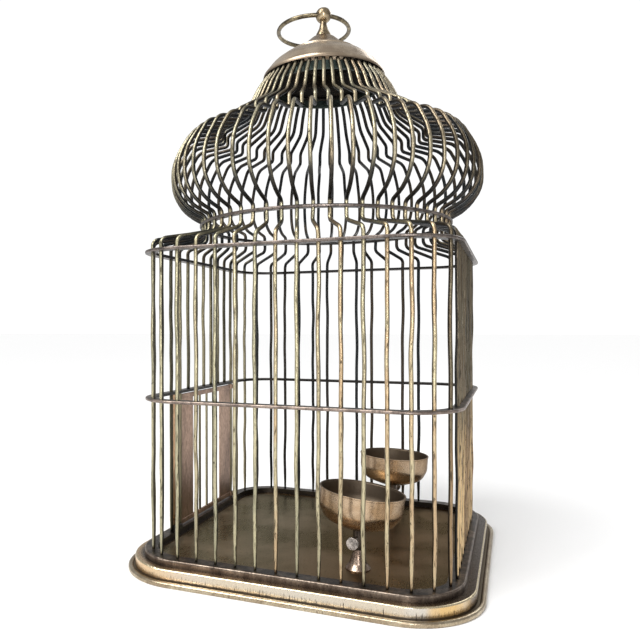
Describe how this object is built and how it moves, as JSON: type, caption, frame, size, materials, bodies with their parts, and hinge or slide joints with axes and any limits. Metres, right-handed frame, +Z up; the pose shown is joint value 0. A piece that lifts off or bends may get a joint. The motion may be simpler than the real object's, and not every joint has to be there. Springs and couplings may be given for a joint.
{
  "type": "bird cage",
  "caption": "Brass bird cage with a square wire body, onion dome, spun crown with hang ring, side door, stepped base pan and goblet cups on stands.",
  "frame": {"origin": "centre of the base underside, where the pan stands", "axes": "+Z up; -Y is the front wall; the side door is in the -X wall"},
  "size_m": [0.351, 0.351, 0.5989],
  "materials": {
    "wire": "antique, worn bright in front",
    "band": "antique, brown",
    "pan": "polished, scratched edge",
    "floor": "dark, half polished",
    "crown": "warm brown, brushed",
    "finial": "antique gold",
    "cup": "polished bronze",
    "door": "antique, pinkish brown",
    "hidden": "dull"
  },
  "bodies": {
    "base": {"base_pan": "pan", "base_rim_bead": "pan", "floor_plate": "floor", "floor_rivet": "finial", "cup_stand_nuts": "hidden", "front_cup_stand": "cup", "rear_cup_stand": "cup"},
    "cage": {"bottom_ring": "band", "locating_pins": "hidden", "mid_ring": "band", "shoulder_ring": "band", "waist_ring": "band", "front_wires": "wire", "right_wires": "wire", "rear_wires": "wire", "left_rear_wires": "wire", "door_head_wires": "wire", "left_front_wires": "wire", "crown_ring": "hidden", "crown_brim": "crown", "crown_dome": "crown", "finial_stem": "finial", "finial_nut": "hidden", "finial_ball": "finial", "latch_strip": "door", "latch_block": "door"},
    "hang_ring_body": {"hang_ring": "finial"},
    "door": {"door_front_stile": "door", "door_rear_stile": "door", "door_top_rail": "door", "door_bottom_rail": "door", "door_bars": "wire", "door_knuckles": "door", "door_keeper": "door"},
    "door_latch": {"latch_arm": "door", "latch_pivot": "finial"},
    "front_cup": {"front_cup_bowl": "cup", "front_cup_socket": "cup"},
    "front_screw": {"front_cup_screw": "cup"},
    "rear_cup": {"rear_cup_bowl": "cup", "rear_cup_socket": "cup"},
    "rear_screw": {"rear_cup_screw": "cup"}
  },
  "joints": [
    {"name": "cage_lift", "type": "slide", "parent": "base", "child": "cage", "axis": [0, 0, 1], "range_m": [0, 0.06]},
    {"name": "hang_ring_swing", "type": "hinge", "parent": "cage", "child": "hang_ring_body", "pos_m": [0, 0, 0.592], "axis": [0.848, 0.5299, 0], "range_deg": [-35, 215]},
    {"name": "door_hinge", "type": "hinge", "parent": "cage", "child": "door", "pos_m": [-0.151, 0.08367, 0.09], "axis": [0, 0, -1], "range_deg": [0, 110]},
    {"name": "latch_turn", "type": "hinge", "parent": "cage", "child": "door_latch", "pos_m": [-0.1548, -0.06902, 0.033], "axis": [-1, 0, 0], "range_deg": [0, 90]},
    {"name": "front_cup_lift", "type": "slide", "parent": "base", "child": "front_cup", "axis": [0, 0, 1], "range_m": [0, 0.03]},
    {"name": "front_screw_turn", "type": "hinge", "parent": "front_cup", "child": "front_screw", "pos_m": [0.06, -0.0946, 0.044], "axis": [0, -1, 0], "continuous": true},
    {"name": "rear_cup_lift", "type": "slide", "parent": "base", "child": "rear_cup", "axis": [0, 0, 1], "range_m": [0, 0.03]},
    {"name": "rear_screw_turn", "type": "hinge", "parent": "rear_cup", "child": "rear_screw", "pos_m": [0.06, 0.0978, 0.044], "axis": [0, 1, 0], "continuous": true}
  ]
}
